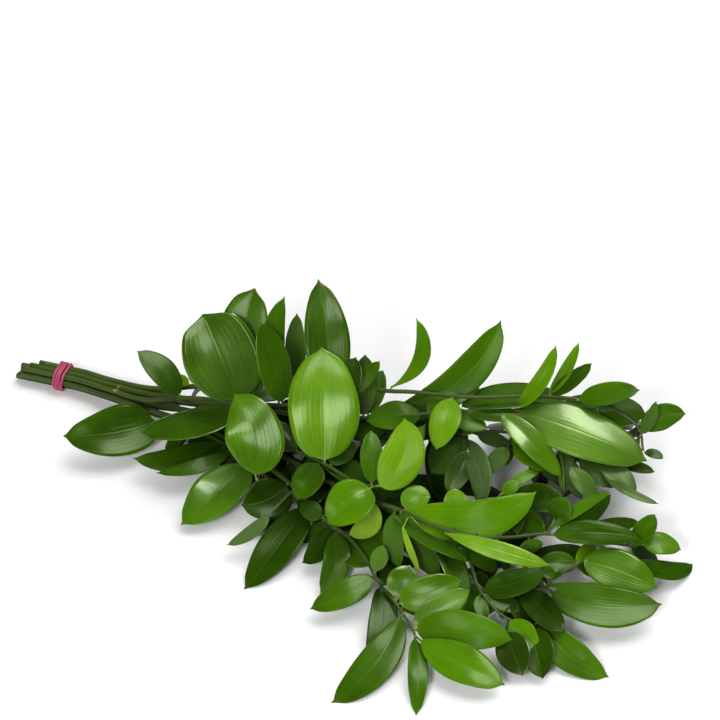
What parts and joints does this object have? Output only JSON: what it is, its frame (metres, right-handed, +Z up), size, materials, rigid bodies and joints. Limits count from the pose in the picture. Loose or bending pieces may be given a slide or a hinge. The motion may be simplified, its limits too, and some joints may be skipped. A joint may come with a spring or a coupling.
{
  "type": "cut ruscus bunch",
  "caption": "Bunch of cut ruscus stems with glossy pointed leaves, lying flat and held near the cut ends by a pink rubber band.",
  "frame": {"origin": "centre of the bunch's bounding box, at the surface that it lies on", "axes": "+X along the bunch from the cut ends to the leaf tips, +Y away from the side the picture was taken from, +Z up"},
  "size_m": [0.5158, 0.3592, 0.1407],
  "materials": {
    "ruscus_leaf_a": "waxy leaf",
    "ruscus_leaf_b": "waxy leaf",
    "ruscus_leaf_c": "waxy leaf",
    "ruscus_leaf_d": "waxy leaf",
    "ruscus_leaf_e": "waxy leaf",
    "ruscus_leaf_f": "waxy leaf",
    "ruscus_leaf_g": "waxy leaf",
    "ruscus_leaf_h": "waxy leaf",
    "ruscus_leaf_i": "waxy leaf",
    "ruscus_leaf_j": "waxy leaf",
    "band_rubber": "matt"
  },
  "bodies": {
    "root": {"ruscus_stem_a": "ruscus_leaf_a", "ruscus_stem_b": "ruscus_leaf_b", "ruscus_stem_c": "ruscus_leaf_c", "ruscus_stem_d": "ruscus_leaf_d", "ruscus_stem_e": "ruscus_leaf_e", "ruscus_stem_f": "ruscus_leaf_f", "ruscus_stem_g": "ruscus_leaf_g", "ruscus_stem_h": "ruscus_leaf_h", "ruscus_stem_i": "ruscus_leaf_i", "ruscus_stem_j": "ruscus_leaf_j", "rubber_band": "band_rubber"}
  },
  "joints": []
}
